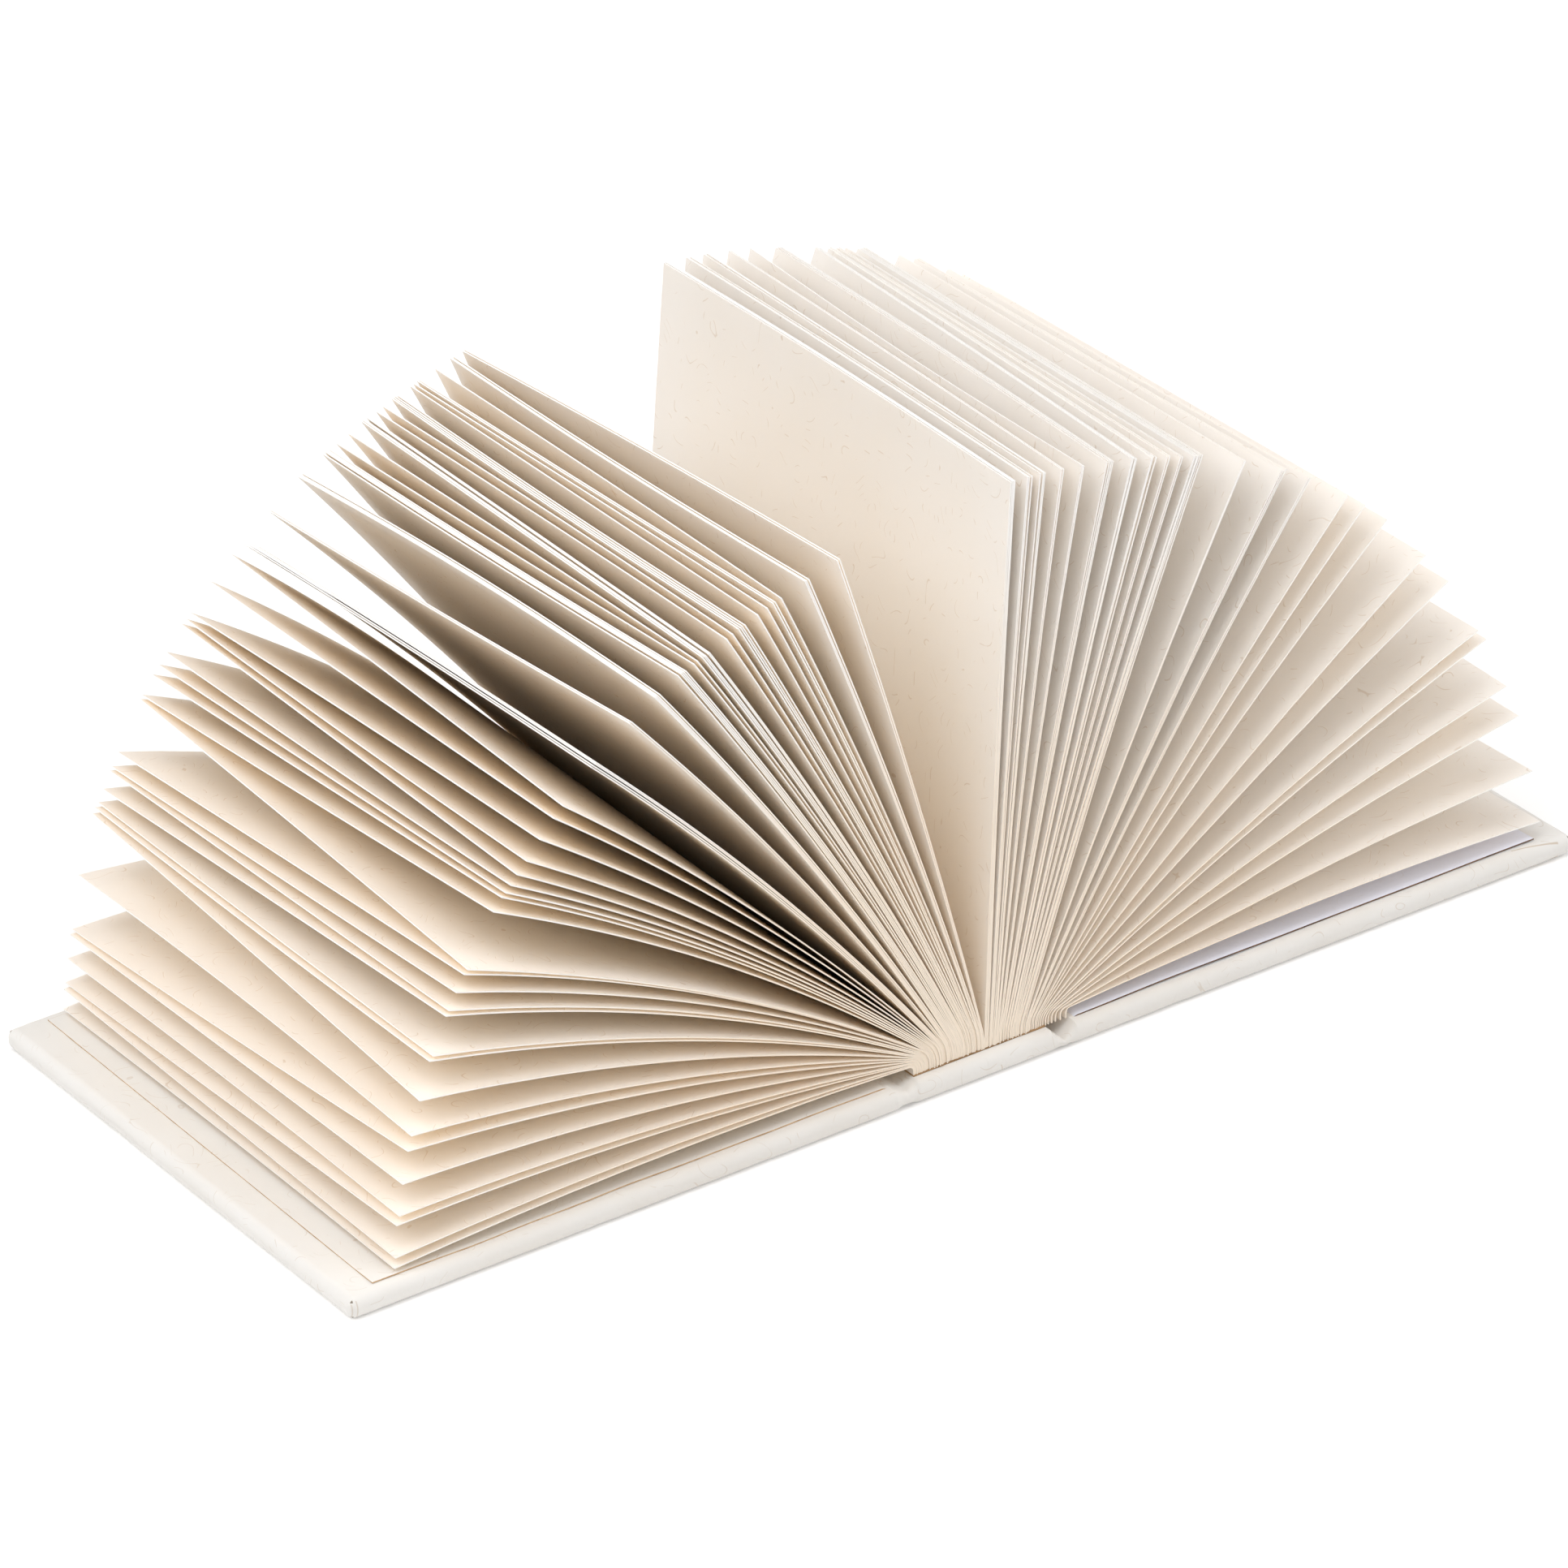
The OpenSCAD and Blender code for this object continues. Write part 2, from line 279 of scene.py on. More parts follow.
def new_piece(name, points, faces, finish, corner=40):
    """Makes a mesh object from points and faces, smooth except where faces meet sharply."""
    mesh = bpy.data.meshes.new(name)
    mesh.from_pydata(points.reshape(-1, 3), [], faces)
    mesh.shade_smooth()
    mesh.set_sharp_from_angle(angle=math.radians(corner))
    mesh.materials.append(finish)
    piece = bpy.data.objects.new(name, mesh)
    bpy.context.scene.collection.objects.link(piece)
    return piece


def tube_faces(stations, around):
    """Faces of a closed profile carried along a path: quads between neighbouring stations,
    and one many-sided face at each end."""
    at = np.arange(stations - 1)[:, None] * around
    k = np.arange(around)[None, :]
    after = (k + 1) % around
    quads = np.stack([at + k, at + after, at + around + after, at + around + k], axis=-1)
    first = list(range(around))[::-1]
    last = list(range((stations - 1) * around, stations * around))
    return quads.reshape(-1, 4).tolist() + [first, last]


def section_loop(across, arc, upright):
    """One turn round a rounded section, as numbers for its points: the share of the straight
    half-width, the cosine and sine on the corner's circle, and the share of the height."""
    flat = np.linspace(-1, 1, across)
    turn = np.linspace(0, math.pi / 2, arc + 2)[1:-1]
    rise = np.linspace(0, 1, upright)
    ones, zeros = np.ones, np.zeros
    width = [flat, ones(arc), ones(upright), ones(arc)]
    width += [-flat, -ones(arc), -ones(upright), -ones(arc)]
    cosine = [zeros(across), np.sin(turn), ones(upright), np.cos(turn)]
    cosine += [zeros(across), -np.sin(turn), -ones(upright), -np.cos(turn)]
    sine = [-ones(across), -np.cos(turn), zeros(upright), np.sin(turn)]
    sine += [ones(across), np.cos(turn), zeros(upright), -np.sin(turn)]
    height = [zeros(across), zeros(arc), rise, ones(arc)]
    height += [ones(across), ones(arc), rise[::-1], zeros(arc)]
    return [np.concatenate(part)[None, :] for part in (width, cosine, sine, height)]


class Nodes:
    """Builds a node tree in few words."""

    def __init__(self, tree):
        self.tree = tree

    def add(self, kind, settings=(), **inputs):
        made = self.tree.nodes.new(kind)
        for name, value in dict(settings).items():
            setattr(made, name, value)
        for name, value in inputs.items():
            self.feed(made.inputs[name.replace("_", " ")], value)
        return made

    def feed(self, socket, value):
        if isinstance(value, bpy.types.NodeSocket):
            self.tree.links.new(value, socket)
        else:
            socket.default_value = value

    def calc(self, kind, first, second=0.0, third=0.0):
        made = self.add("ShaderNodeMath", {"operation": kind})
        for k, value in enumerate((first, second, third)):
            self.feed(made.inputs[k], value)
        return made.outputs[0]

    def blur(self, value, low, high):
        """0 below low, 1 above high, and smooth between."""
        made = self.add("ShaderNodeMapRange", {"interpolation_type": "SMOOTHSTEP"})
        self.feed(made.inputs["Value"], value)
        made.inputs["From Min"].default_value = low
        made.inputs["From Max"].default_value = high
        return made.outputs["Result"]

    def vector(self, kind, first, second):
        made = self.add("ShaderNodeVectorMath", {"operation": kind})
        self.feed(made.inputs[0], first)
        self.feed(made.inputs[3 if kind == "SCALE" else 1], second)
        return made.outputs[1 if kind in ("DOT_PRODUCT", "LENGTH") else 0]

    def stroke(self, spot, flat, start, end, width):
        """1 on the line from start to end and 0 away from it, seen along the flattened axis."""
        start, along = Vector(start) * MM, (Vector(end) - Vector(start)) * MM
        gone = self.vector("SUBTRACT", self.vector("MULTIPLY", spot, flat), start)
        share = self.vector("DOT_PRODUCT", gone, along / along.length_squared)
        share = self.calc("MINIMUM", self.calc("MAXIMUM", share, 0.0), 1.0)
        gap = self.vector("SUBTRACT", gone, self.vector("SCALE", along, share))
        return self.blur(self.vector("LENGTH", gap, (0, 0, 0)), width * MM, 0.3 * width * MM)

    def mix(self, share, first, second):
        made = self.add("ShaderNodeMix", {"data_type": "RGBA"})
        self.feed(made.inputs["Factor"], share)
        for name, tone in (("A", first), ("B", second)):
            linked = isinstance(tone, bpy.types.NodeSocket)
            self.feed(made.inputs[name], tone if linked else (*tone, 1))
        return made.outputs["Result"]

    def noise(self, where, scale, detail, rough=0.5):
        made = self.add(
            "ShaderNodeTexNoise", Vector=where, Scale=scale, Detail=detail, Roughness=rough
        )
        return made.outputs["Fac"]


def new_finish(name, roughness, level):
    """An empty material with a Principled shader of that roughness and specular level."""
    finish = bpy.data.materials.new(name)
    finish.use_nodes = True
    finish.node_tree.nodes.clear()
    nodes = Nodes(finish.node_tree)
    shader = nodes.add("ShaderNodeBsdfPrincipled", Roughness=roughness, Specular_IOR_Level=level)
    out = nodes.add("ShaderNodeOutputMaterial")
    nodes.tree.links.new(shader.outputs[0], out.inputs["Surface"])
    return finish, nodes, shader


def paper_finish(
    name, base, fibre, where, flecks=1.0, gutter_shade=None, glow=None, warm_shade=None, creases=()
):
    """Uncoated paper: cloudy tone, fine tooth, short wandering fibres and small specks.
    Fibres are thin contour lines of one noise, kept only where another is high."""
    finish, nodes, shader = new_finish(name, 0.88, 0.18)
    if where == "UV":
        spot = nodes.add("ShaderNodeUVMap", {"uv_map": "paper"}).outputs["UV"]
    else:
        spot = nodes.add("ShaderNodeTexCoord").outputs["Object"]
    cloud = nodes.noise(spot, 90, 4, 0.6)
    tone = nodes.mix(nodes.blur(cloud, 0.3, 0.72), tinted(base, CLOUD_TINT), base)
    # Painted shade: the tone turns darker and warmer towards the glued back, where the gaps between the
    # sheets are deepest
    if gutter_shade is not None:
        root = nodes.add("ShaderNodeAttribute", {"attribute_name": "root_share"}).outputs["Fac"]
        uneven = nodes.calc("ADD", root, nodes.calc("MULTIPLY_ADD", cloud, 0.2, -0.1))
        tone = nodes.mix(nodes.blur(uneven, 0.0, GUTTER_SHARE), gutter_shade, tone)
    path = nodes.calc("SINE", nodes.calc("MULTIPLY", nodes.noise(spot, 230, 0.0), 21.0))
    line = nodes.blur(nodes.calc("ABSOLUTE", path), 0.14, 0.05)
    here = nodes.blur(nodes.noise(spot, 520, 0.0), 0.56, 0.64)
    hair = nodes.calc("MULTIPLY", line, here)
    cells = nodes.add("ShaderNodeTexVoronoi", Vector=spot, Scale=330.0)
    dot = nodes.blur(cells.outputs["Distance"], 0.045, 0.02)
    rare = nodes.add("ShaderNodeSeparateColor", Color=cells.outputs["Color"]).outputs["Red"]
    speck = nodes.calc("MULTIPLY", dot, nodes.blur(rare, 0.90, 0.95))
    marks = nodes.calc("MULTIPLY", nodes.calc("MAXIMUM", hair, speck), MARK_DEPTH * flecks)
    # Painted shade along the folds: thin lines of the fibre colour
    for depth, *crease in creases:
        mark = nodes.calc("MULTIPLY", nodes.stroke(spot, *crease), depth)
        marks = nodes.calc("MAXIMUM", marks, mark)
    nodes.feed(shader.inputs["Base Color"], nodes.mix(marks, tone, fibre))
    felt = nodes.noise(spot, 1100, 3, 0.65)
    bump = nodes.add("ShaderNodeBump", Strength=0.35, Distance=0.00005, Height=felt)
    nodes.feed(shader.inputs["Normal"], bump.outputs[0])
    rough = nodes.calc("MULTIPLY_ADD", felt, 0.14, 0.80)
    nodes.feed(shader.inputs["Roughness"], rough)
    # Painted warm shade: bounced light meets the paper in a warmer tone, warmest on the left fan, so that the
    # recesses between the sheets turn orange
    if glow is not None:
        deep, pale = tinted(gutter_shade, warm_shade), tinted(base, warm_shade)
        even = nodes.mix(nodes.blur(root, 0.0, GUTTER_SHARE), deep, pale)
        let_light_through(nodes, shader, even, glow)
    return finish


def let_light_through(nodes, shader, even, glow):
    """Adds the light that comes through a thin sheet. Rays that don't come from the camera meet an
    even tone instead of the fibres, which they couldn't tell apart; that tone is tinted warmer than the
    paper, a painted warm shade for the light bouncing between the sheets."""
    through = nodes.add("ShaderNodeBsdfTranslucent", Color=(*glow, 1))
    plain = nodes.add("ShaderNodeBsdfDiffuse", Color=even)
    choice = nodes.add("ShaderNodeMixShader")
    nodes.feed(choice.inputs[0], nodes.add("ShaderNodeLightPath").outputs["Is Camera Ray"])
    for k, face in enumerate((plain, shader)):
        both = nodes.add("ShaderNodeMixShader", Fac=LIGHT_THROUGH)
        nodes.tree.links.new(face.outputs[0], both.inputs[1])
        nodes.tree.links.new(through.outputs[0], both.inputs[2])
        nodes.tree.links.new(both.outputs[0], choice.inputs[k + 1])
    out = nodes.tree.nodes["Material Output"]
    nodes.tree.links.new(choice.outputs[0], out.inputs["Surface"])


def edge_finish(name, base, gutter_shade):
    """Cut edges of the pages: an even tone that turns to a deeper one near the glued back, a painted shade
    for the deep gaps there.
    """
    finish, nodes, shader = new_finish(name, 0.9, 0.1)
    root = nodes.add("ShaderNodeAttribute", {"attribute_name": "root_share"}).outputs["Fac"]
    deep = tinted(gutter_shade, EDGE_SHADE_TINT)
    nodes.feed(shader.inputs["Base Color"], nodes.mix(nodes.blur(root, 0.35, 1.1), deep, base))
    return finish


def rough_finish(name, dark, light, scale):
    """Dull board, glue or the painted shadow line on the pasted sheets' edges: two tones clouded together at
    the given scale, with a coarse bump.
    """
    finish, nodes, shader = new_finish(name, 0.85, 0.2)
    spot = nodes.add("ShaderNodeTexCoord").outputs["Object"]
    cloud = nodes.noise(spot, scale, 4, 0.65)
    nodes.feed(shader.inputs["Base Color"], nodes.mix(nodes.blur(cloud, 0.3, 0.7), dark, light))
    bump = nodes.add("ShaderNodeBump", Strength=0.5, Distance=0.0001, Height=cloud)
    nodes.feed(shader.inputs["Normal"], bump.outputs[0])
    return finish


def finish_of(name, make, *facts, **more):
    """The material of that name, made the first time that it is asked for."""
    return bpy.data.materials.get(name) or make(name, *facts, **more)


def len_of(bunches):
    """Sheets in all bunches."""
    return sum(bunch[0] for bunch in bunches)


def fan_rows(bunches, seed):
    """Spreads the bunches into single sheets: the place of each in the glued back, its tilts at
    both ends, its bend, and how far its middle bows, kept within the room to its neighbours."""
    rng = np.random.default_rng(seed)
    count, near, far, bend = (np.array(part, float) for part in zip(*bunches))
    count = count.astype(int)
    room = np.minimum(-np.diff(near), -np.diff(far))
    room = np.minimum(np.append(room, room[-1]), np.insert(room, 0, room[0]))
    bow = np.clip(BOW_SHARE * room, 0, BOW_MOST) * rng.uniform(-1, 1, len(bunches))
    row = np.repeat(np.arange(len(bunches)), count)
    step = np.minimum(rng.exponential(SPLAY_MEAN, len(row)), SPLAY_MOST) + SPLAY_LEAST
    splay = np.cumsum(step)
    middle = np.bincount(row, splay) / count
    splay = splay - middle[row]
    return {
        "place": np.arange(len(row)) + 0.5,
        "near": near[row] - splay,
        "far": far[row] - splay * rng.uniform(0.8, 1.0, len(bunches))[row],
        "bend": bend[row],
        "bow": bow[row],
    }


def sheet_surfaces(rows, sizes, back, spread, seed, fold=8, free=26, along=13):
    """All sheets of a fan on the left, as thin closed solids. With the fold's middle beside the
    back, a sheet rises out of the glue, follows a circle round that middle until it leans enough,
    and then runs on as a flat arc: chord = length * sin(h) / h for half its bend h. The tilt goes
    from the near end's to the far end's, with a bow between. Both faces lie half a sheet away.
    Returns the points, how far along its sheet each lies, and how much it follows the cover."""
    rng = np.random.default_rng(seed)
    part = {key: value[:, None, None] for key, value in rows.items()}
    share = np.linspace(0, 1, along)[None, None, :]
    tilt = part["near"] + (part["far"] - part["near"]) * share
    tilt = tilt + part["bow"] * np.sin(math.pi * share)
    bend = np.radians(part["bend"])
    swing = np.radians(tilt) - bend / 2
    rho = sizes.fold_radius + part["place"] * sizes.pitch
    width = sizes.page_width - sizes.glued_depth + rng.normal(0, CUT_SPREAD, part["place"].shape)
    rest = width - rho * swing
    arc = swing * np.linspace(0, 1, fold + 1)[None, :, None]
    q = np.linspace(0, 1, free + 1)[None, 1:, None]
    half = np.maximum(bend * q / 2, 1e-6)
    chord = rest * q * np.sin(half) / half
    flat = np.zeros_like(arc[:, :1])
    x = np.concatenate([
        rho + flat,
        rho * np.cos(arc),
        rho * np.cos(swing) - chord * np.sin(swing + half),
    ], axis=1)
    z = np.concatenate([
        flat - sizes.glued_depth * GLUED_REACH,
        rho * np.sin(arc),
        rho * np.sin(swing) + chord * np.cos(swing + half),
    ], axis=1)
    turn = np.concatenate([flat, arc, swing + bend * q], axis=1)
    run = np.concatenate([flat, rho * arc, rho * swing + rest * q], axis=1)
    ends = share * 2 - 1
    wander = ripple(run * 2600, part["place"] * 9.7 + 3 * ends, seed + 1)
    uneven = rng.normal(0, CUT_SPREAD, part["place"].shape)
    y = ends * (sizes.page_height / 2 - PAGE_TRIM) + uneven + ends ** 8 * wander * sizes.ragged
    y = np.broadcast_to(y, x.shape)
    side = sizes.thickness / 2
    opened = spread * np.exp(-part["place"] / SPREAD_SHEETS)
    middle = back - sizes.fold_radius - opened
    outer = [x - side * np.cos(turn) + middle, y, z - side * np.sin(turn)]
    inner = [x + side * np.cos(turn) + middle, y, z + side * np.sin(turn)]
    outer, inner = (np.stack(face, axis=-1) for face in (outer, inner))
    points = np.concatenate([outer, inner[:, ::-1]], axis=1).transpose(0, 2, 1, 3)
    run = np.concatenate([run, run[:, ::-1]], axis=1).transpose(0, 2, 1)
    tilt = np.broadcast_to(tilt.transpose(0, 2, 1), run.shape)
    lean = np.clip(tilt / 90, 0, 1)
    follow = smooth_step(run / (sizes.bend_reach * (1 - FLAT_SHEET_CUT * smooth_step(lean))))
    if spread:
        follow = np.maximum(follow, (opened / spread).transpose(0, 2, 1) ** 0.5)
    return points, run, lean * follow


def sheet_faces(sheets, stations, around):
    """Faces of thin closed sheets: quads round each sheet from the near to the far end, and
    strips of quads over its two ends."""
    side = around // 2
    at = np.arange(stations - 1)[:, None] * around
    k = np.arange(around)[None, :]
    after = (k + 1) % around
    walls = np.stack([at + k, at + after, at + around + after, at + around + k], axis=-1)
    k = np.arange(side - 1)
    strip = np.stack([k, around - 1 - k, around - 2 - k, k + 1], axis=-1)
    far = strip[:, ::-1] + (stations - 1) * around
    one = np.concatenate([walls.reshape(-1, 4), strip, far])
    start = np.arange(sheets)[:, None, None] * stations * around
    return (one[None] + start).reshape(-1, 4)


def cut_faces(sheets, stations, around):
    """1 for the faces of the sheets that lie on a cut edge, 0 for their two sides, in the order
    of sheet_faces."""
    walls = np.zeros((stations - 1, around), np.int32)
    walls[:, [around // 2 - 1, around - 1]] = 1
    ends = np.ones(2 * (around // 2 - 1), np.int32)
    return np.tile(np.concatenate([walls.ravel(), ends]), sheets)


class NOTEPAD_OT_leaves(bpy.types.Operator):
    """Builds the two fans of loose sheets, which bend as a cover moves"""

    bl_idname = "notepad.leaves"
    bl_label = "Leaves"

    def execute(self, context):
        sizes = context.scene.notepad_leaves
        colours = context.scene.notepad_finishes
        edge = finish_of("leaf_edge", edge_finish, colours.edge, colours.gutter_shade)
        half = -(len_of(LEFT_BUNCHES) + len_of(RIGHT_BUNCHES)) * sizes.pitch / 2
        root = PAGE_LOW.z + sizes.glued_depth
        for name, bunches, body, spread, seed, warm_shade in (
            ("left_leaves", LEFT_BUNCHES, "front_cover", 0.0, 11, LEFT_WARM_SHADE_TINT),
            ("right_leaves", RIGHT_BUNCHES, "back_cover", sizes.spread, 23, RIGHT_WARM_SHADE_TINT),
        ):
            paper = finish_of(
                name + "_sheet", paper_finish, colours.page, colours.fibre, "UV", 1.0,
                colours.gutter_shade, colours.glow, warm_shade
            )
            points, run, weight = sheet_surfaces(fan_rows(bunches, seed), sizes, half, spread, seed)
            points[..., 2] += root
            faces = sheet_faces(*points.shape[:3])
            if body == "back_cover":
                points[..., 0] *= -1
                faces = faces[:, ::-1]
            piece = new_piece(name, points, faces.tolist(), paper)
            piece.data.materials.append(edge)
            piece.data.polygons.foreach_set("material_index", cut_faces(*points.shape[:3]))
            rng = np.random.default_rng(seed + 5)
            shift = rng.uniform(0, 0.7, (points.shape[0], 1, 1, 2))
            spot = np.stack([run, points[..., 1]], axis=-1) + shift
            mark_sheets(piece.data, spot, run / sizes.page_width)
            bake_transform(piece, "spine", body, start=(0, 0, 0), end=(0, 0, 1))
            # Each leaf has weights of its own, in place of those that the blend's two points give
            blended = piece.data.attributes["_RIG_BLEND"]
            blended.data.foreach_set("value", weight.ravel().astype(np.float32))
            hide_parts("page_block")
        return {"FINISHED"}


def mark_sheets(mesh, spot, share):
    """Gives the mesh its flat paper coordinates, and each point's share of the page width."""
    corner = np.empty(len(mesh.loops), np.int32)
    mesh.loops.foreach_get("vertex_index", corner)
    layer = mesh.uv_layers.new(name="paper")
    layer.data.foreach_set("uv", spot.reshape(-1, 2)[corner].ravel().astype(np.float32))
    root = mesh.attributes.new("root_share", "FLOAT", "POINT")
    root.data.foreach_set("value", share.ravel().astype(np.float32))


def case_surface(side, sizes, depth, pinch, seed):
    """Paper round one cover, its joint groove and half of the spine: a rounded section in Y and Z
    carried along X. The section's top and bottom dip into the groove, and close round the fore-edge
    along a quarter circle, as its ends do round the corners."""
    thick = WRAP_HIGH.z
    reach, tall = WRAP_HIGH.x, WRAP_HIGH.y
    inner, outer = SPINE_HIGH.x + WRAP_THICKNESS, COVER_LOW.x - WRAP_THICKNESS
    hinge, gap = (inner + outer) / 2, outer - inner
    rim = MM * np.array([
        3.4, 2.7, 2.1, 1.8, 1.6, 1.5, 1.42, 1.36, 1.3, 1.24, 1.18,
        1.1, 1.0, 0.85, 0.7, 0.55, 0.4, 0.27, 0.16, 0.08, 0.03, 0.0,
    ])
    x = np.concatenate([
        np.linspace(0, inner - 0.0005, 9),
        np.linspace(inner - 0.0002, outer + 0.0002, 27),
        np.linspace(outer + 0.0006, reach - 0.0045, 52),
        reach - rim,
    ])[:, None]
    edge = reach - x
    dip = np.clip(1 - np.abs(x - hinge) / (gap / 2), 0, 1)
    r = sizes.edge_radius
    drop = r - np.sqrt(np.clip(r * r - np.clip(r - edge, 0, r) ** 2, 0, None))
    c = sizes.corner_radius
    inset = c - np.sqrt(np.clip(c * c - np.clip(c - edge, 0, c) ** 2, 0, None))
    top = thick - drop - depth * dip ** 0.8
    low = drop + pinch * smooth_step(dip * 1.3)
    end = tall - inset - 0.0001 * smooth_step(dip * 1.5)
    round_r = np.minimum(r - drop + 0.00002, (top - low) * 0.48)
    width, cosine, sine, height = section_loop(41, 5, 5)
    y = width * (end - round_r) + round_r * cosine
    z = (low + round_r) * (1 - height) + (top - round_r) * height + round_r * sine
    sway = ripple(x * 420, y * 420, seed)
    lump = ripple(x * 1500, y * 1500 + z * 900, seed + 1)
    rough = sizes.unevenness * (0.6 * sway + 0.4 * lump)
    fold = np.exp(-((edge - FOLD_AT) / FOLD_WIDTH) ** 2) * FOLD_DEPTH
    y = y - np.abs(cosine) ** 2 * np.sign(width) * (np.abs(rough) + fold)
    z = z + (height < 0.5) * np.abs(rough) * 0.6 - (height > 0.5) * np.abs(rough)
    x = np.broadcast_to(x, y.shape) - (edge < 0.5 * MM) * np.abs(rough) * 0.8
    return np.stack([side * x, y, np.clip(z, 0, None)], axis=-1)


class NOTEPAD_OT_case(bpy.types.Operator):
    """Wraps the covers, the joint grooves and the spine in paper"""

    bl_idname = "notepad.case"
    bl_label = "Cover paper"

    def execute(self, context):
        sizes = context.scene.notepad_covers
        colours = context.scene.notepad_finishes
        paper = finish_of(
            "case_sheet", paper_finish, colours.cover, colours.fibre, "Object", 0.7, creases=CREASE_SHADES
        )
        for name, side, body, node, depth, seed in (
            ("front_case_paper", -1, "front_cover", "front_wrap", 0.45, 31),
            ("back_case_paper", 1, "back_cover", "back_wrap", 1.0, 47),
        ):
            points = case_surface(side, sizes, depth * sizes.groove_depth, sizes.pinch, seed)
            faces = tube_faces(*points.shape[:2])
            if side < 0:
                faces = [face[::-1] for face in faces]
            piece = new_piece(name, points, faces, paper, 35)
            inner, outer = SPINE_HIGH.x, COVER_LOW.x
            level = WRAP_HIGH.z / 2
            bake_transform(piece, "spine", body, start=(side * inner, 0, level), end=(side * outer, 0, level))
            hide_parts(node, "spine_wrap")
        return {"FINISHED"}


def pastedown_surface(side, sizes, lift, seed):
    """Sheet pasted inside a cover, as a thin closed solid: a rounded section in Y and Z carried
    along X. It sinks a little where the turned-in paper under it ends, dips into the joint at its
    inner end, and comes a little loose along its near edge."""
    thick = sizes.paste_thickness
    base = WRAP_HIGH.z - 0.00003
    low_x, high_x, tall = PASTE_LOW.x, PASTE_HIGH.x, PASTE_HIGH.y
    x = np.concatenate([
        low_x - JOINT_REACH + np.linspace(0, 2 * JOINT_REACH, 10),
        np.linspace(low_x + 0.0018, high_x, 50),
    ])[:, None]
    width, cosine, sine, height = section_loop(PASTE_ACROSS, 1, 2)
    r = thick * 0.3
    y = width * (tall - r) + r * cosine
    wander = ripple(x * 300, np.sign(width), seed)
    y = y + np.sign(width) * PASTE_WANDER * wander * np.abs(width) ** 9
    rise = (height - 0.5) * thick + sine * r * 0.3
    sunk = smooth_step((high_x - sizes.turn_in - x) / STEP_EASE)
    sunk = sunk * smooth_step((tall - sizes.turn_in - np.abs(y)) / STEP_EASE)
    joint = smooth_step((low_x + 0.0004 - x) / 0.0016)
    loose = smooth_step((-y - tall + LOOSE_EDGE) / LOOSE_EDGE)
    loose = loose * smooth_step((x - low_x) / LOOSE_EASE)
    wave = 0.55 + 0.45 * ripple(x * 190, 0 * x, seed + 2)
    z = base + thick * 0.5 + rise - STEP_DEPTH * sunk - JOINT_SINK * joint ** 1.5
    z = z + lift * loose * np.clip(wave, 0, 1)
    outer = smooth_step((x - high_x + TRIM_EASE) / TRIM_EASE)
    slant = np.tan(PASTE_SLANT * side) * y * outer
    x = np.broadcast_to(x, y.shape) - PASTE_TRIM * outer + slant
    return np.stack([side * x, y, z], axis=-1)


class NOTEPAD_OT_pastedowns(bpy.types.Operator):
    """Lays the pasted sheets inside the covers"""

    bl_idname = "notepad.pastedowns"
    bl_label = "Pastedowns"

    def execute(self, context):
        sizes = context.scene.notepad_covers
        colours = context.scene.notepad_finishes
        cream = finish_of("cream_sheet", paper_finish, colours.cover, colours.fibre, "Object", 0.7)
        white = finish_of("white_sheet", paper_finish, colours.white, colours.fibre, "Object", 0.25)
        # Painted shadow: the pasted sheets' cut edges take a dark tone for the shadow line beneath them
        pale = finish_of("pale_paste", rough_finish, *PALE_EDGE_SHADOW, 500)
        brown = finish_of("brown_paste", rough_finish, *BROWN_EDGE_SHADOW, 500)
        for name, side, body, node, finish, edge, lift, slot_name, seed in (
            (
                "front_pasted_sheet", -1, "front_cover", "front_pastedown", cream, pale, 0.0001,
                "cover_paper", 61
            ),
            (
                "back_pasted_sheet", 1, "back_cover", "back_pastedown", white, brown, 0.0002,
                "white_paper", 67
            ),
        ):
            points = pastedown_surface(side, sizes, lift, seed)
            faces = tube_faces(*points.shape[:2])
            if side < 0:
                faces = [face[::-1] for face in faces]
            piece = new_piece(name, points, faces, finish, 35)
            piece.data.materials.append(edge)
            rim = np.arange(points.shape[1]) % (points.shape[1] // 2) >= PASTE_ACROSS - 1
            rim = np.append(np.tile(rim, points.shape[0] - 1), [False, True])
            piece.data.polygons.foreach_set("material_index", rim.astype(np.int32))
            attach(piece, body)
            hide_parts(node)
        return {"FINISHED"}


class NOTEPAD_OT_boards(bpy.types.Operator):
    """Finishes the boards and the lining inside the covers and lays the glue under the leaves"""

    bl_idname = "notepad.boards"
    bl_label = "Boards and glue"

    def execute(self, context):
        colours = context.scene.notepad_finishes
        board = finish_of(
            "grey_board", rough_finish, [c * 0.8 for c in colours.board], list(colours.board), 700
        )
        glue = finish_of(
            "spine_glue", rough_finish, [c * 0.6 for c in colours.glue], list(colours.glue), 400
        )
        for node, finish in (
            ("front_board", board),
            ("back_board", board),
            ("spine_board", board),
            ("spine_lining", glue),
        ):
            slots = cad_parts[node].data.materials
            slots.clear()
            slots.append(finish)
        sizes = context.scene.notepad_leaves
        half = (len_of(LEFT_BUNCHES) + len_of(RIGHT_BUNCHES)) * sizes.pitch / 2
        x = np.linspace(-half, half, 60)[:, None]
        width, cosine, sine, height = section_loop(31, 3, 3)
        r = GLUE_ROUND
        tall = sizes.page_height / 2 - GLUE_TRIM
        y = width * (tall - r) + r * cosine
        wander = np.abs(ripple(x * 1500, np.sign(width), 71))
        y = y - GLUE_WANDER * np.sign(width) * wander * np.abs(width)
        low, high = PAGE_LOW.z - GLUE_BELOW, PAGE_LOW.z + GLUE_ABOVE
        z = (low + r) * (1 - height) + (high - r) * height + r * sine
        points = np.stack([np.broadcast_to(x, y.shape), y, z + 0 * y], axis=-1)
        faces = tube_faces(*points.shape[:2])
        piece = new_piece("spine_glue_line", points, faces, glue)
        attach(piece, "spine")
        return {"FINISHED"}


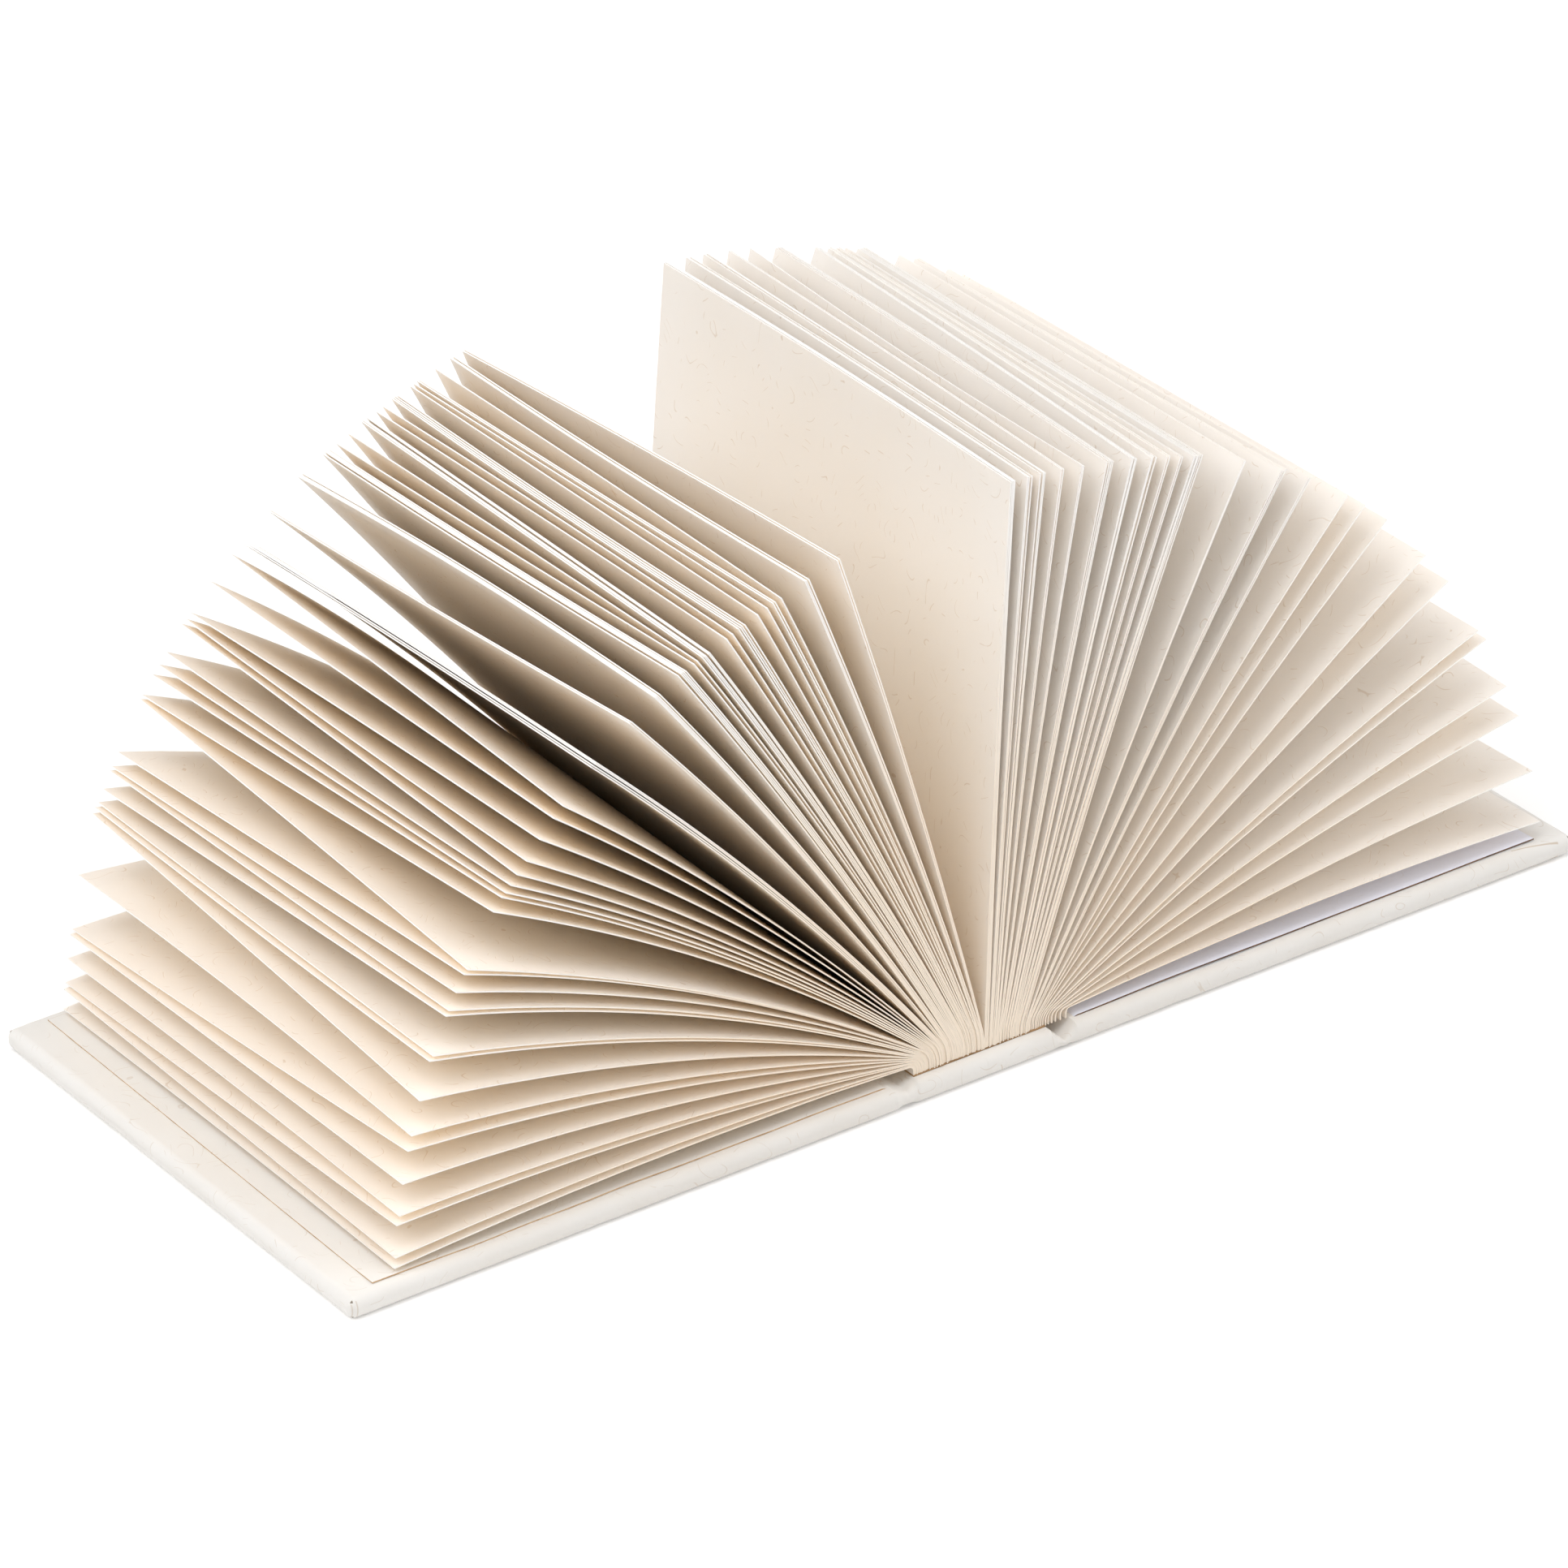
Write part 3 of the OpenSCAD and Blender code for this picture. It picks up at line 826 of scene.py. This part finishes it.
class NOTEPAD_OT_stage(bpy.types.Operator):
    """Lays the floor, hangs the lamps and sets up the camera"""

    bl_idname = "notepad.stage"
    bl_label = "Stage and camera"

    def execute(self, context):
        setup = context.scene.notepad_stage
        self.lay_floor(setup)
        self.hang_lamps(context.scene)
        self.place_camera(context.scene, setup)
        context.scene.view_settings.view_transform = "Standard"
        context.scene.cycles.max_bounces = MAX_BOUNCES
        context.scene.cycles.diffuse_bounces = DIFFUSE_BOUNCES
        return {"FINISHED"}

    def lay_floor(self, setup):
        """A flat grid under the pad, paler than the pad."""
        finish, nodes, shader = new_finish("floor_paint", 0.95, 0.0)
        shader.inputs["Base Color"].default_value = (*setup.floor, 1)
        shader.inputs["Emission Color"].default_value = (1, 1, 1, 1)
        seen = nodes.add("ShaderNodeLightPath").outputs["Is Camera Ray"]
        nodes.feed(shader.inputs["Emission Strength"], nodes.calc("MULTIPLY", seen, FLOOR_GLOW))
        lines = np.linspace(-FLOOR_REACH, FLOOR_REACH, FLOOR_LINES)
        u, v = np.meshgrid(lines, lines, indexing="ij")
        points = np.stack([u, v, np.full_like(u, -FLOOR_DROP)], axis=-1)
        cell = np.arange(FLOOR_LINES - 1)
        k = (cell[:, None] * FLOOR_LINES + cell[None, :]).ravel()
        faces = np.stack([k, k + FLOOR_LINES, k + FLOOR_LINES + 1, k + 1], axis=-1)
        new_piece("floor", points, faces.tolist(), finish)

    def hang_lamps(self, scene):
        """Broad lamps on the left, the right and overhead, and a dim even sky that looks white."""
        for name, azimuth, height, strength in LAMPS:
            lamp = bpy.data.lights.new(name, "SUN")
            lamp.energy = strength
            lamp.angle = math.radians(LAMP_SPREAD)
            holder = bpy.data.objects.new(name, lamp)
            holder.rotation_euler = (0, math.radians(90 - height), math.radians(azimuth))
            scene.collection.objects.link(holder)
        sky = bpy.data.worlds.new("studio")
        sky.use_nodes = True
        nodes = Nodes(sky.node_tree)
        back = sky.node_tree.nodes["Background"]
        path = nodes.add("ShaderNodeLightPath")
        seen = nodes.calc("MAXIMUM", path.outputs["Is Camera Ray"], path.outputs["Is Glossy Ray"])
        seen = nodes.calc("MAXIMUM", seen, path.outputs["Is Transmission Ray"])
        back.inputs["Color"].default_value = (1, 1, 1, 1)
        light = nodes.calc("MULTIPLY_ADD", seen, 1 - SKY_LIGHT, SKY_LIGHT)
        nodes.feed(back.inputs["Strength"], light)
        scene.world = sky

    def place_camera(self, scene, setup):
        """Looks at the aim point from the given yaw, pitch, roll and distance."""
        yaw, pitch, roll = setup.yaw, setup.pitch, setup.roll
        back = Vector((
            math.sin(yaw) * math.cos(pitch), -math.cos(yaw) * math.cos(pitch), math.sin(pitch)
        ))
        right = Vector((math.cos(yaw), math.sin(yaw), 0))
        up = back.cross(right)
        right, up = (
            math.cos(roll) * right + math.sin(roll) * up,
            math.cos(roll) * up - math.sin(roll) * right,
        )
        turn = Matrix((right, up, back)).transposed().to_4x4()
        lens = bpy.data.cameras.new("camera")
        lens.lens = setup.lens
        lens.sensor_width = 36
        lens.clip_start = 0.05
        lens.clip_end = 50
        camera = bpy.data.objects.new("camera", lens)
        camera.matrix_world = Matrix.Translation(Vector(setup.aim) + back * setup.distance) @ turn
        scene.collection.objects.link(camera)
        scene.camera = camera


class NOTEPAD_PT_panel(bpy.types.Panel):
    """Lists the notepad's steps"""

    bl_idname = "NOTEPAD_PT_panel"
    bl_label = "Notepad"
    bl_space_type = "VIEW_3D"
    bl_region_type = "UI"
    bl_category = "Notepad"

    def draw(self, context):
        for step in OPERATORS:
            self.layout.operator(step.bl_idname)


GROUPS = {
    "notepad_leaves": LeafSizes,
    "notepad_covers": CoverSizes,
    "notepad_finishes": Finishes,
    "notepad_stage": StageSettings,
}
OPERATORS = (
    NOTEPAD_OT_leaves, NOTEPAD_OT_case, NOTEPAD_OT_pastedowns, NOTEPAD_OT_boards, NOTEPAD_OT_stage
)


def register():
    for name, group in GROUPS.items():
        bpy.utils.register_class(group)
        setattr(bpy.types.Scene, name, PointerProperty(type=group))
    for step in OPERATORS:
        bpy.utils.register_class(step)
    bpy.utils.register_class(NOTEPAD_PT_panel)


def unregister():
    bpy.utils.unregister_class(NOTEPAD_PT_panel)
    for step in reversed(OPERATORS):
        bpy.utils.unregister_class(step)
    for name, group in GROUPS.items():
        delattr(bpy.types.Scene, name)
        bpy.utils.unregister_class(group)


def main():
    register()
    bpy.ops.notepad.leaves()
    bpy.ops.notepad.case()
    bpy.ops.notepad.pastedowns()
    bpy.ops.notepad.boards()
    bpy.ops.notepad.stage()
    bpy.context.view_layer.update()


if __name__ == "__main__":
    main()
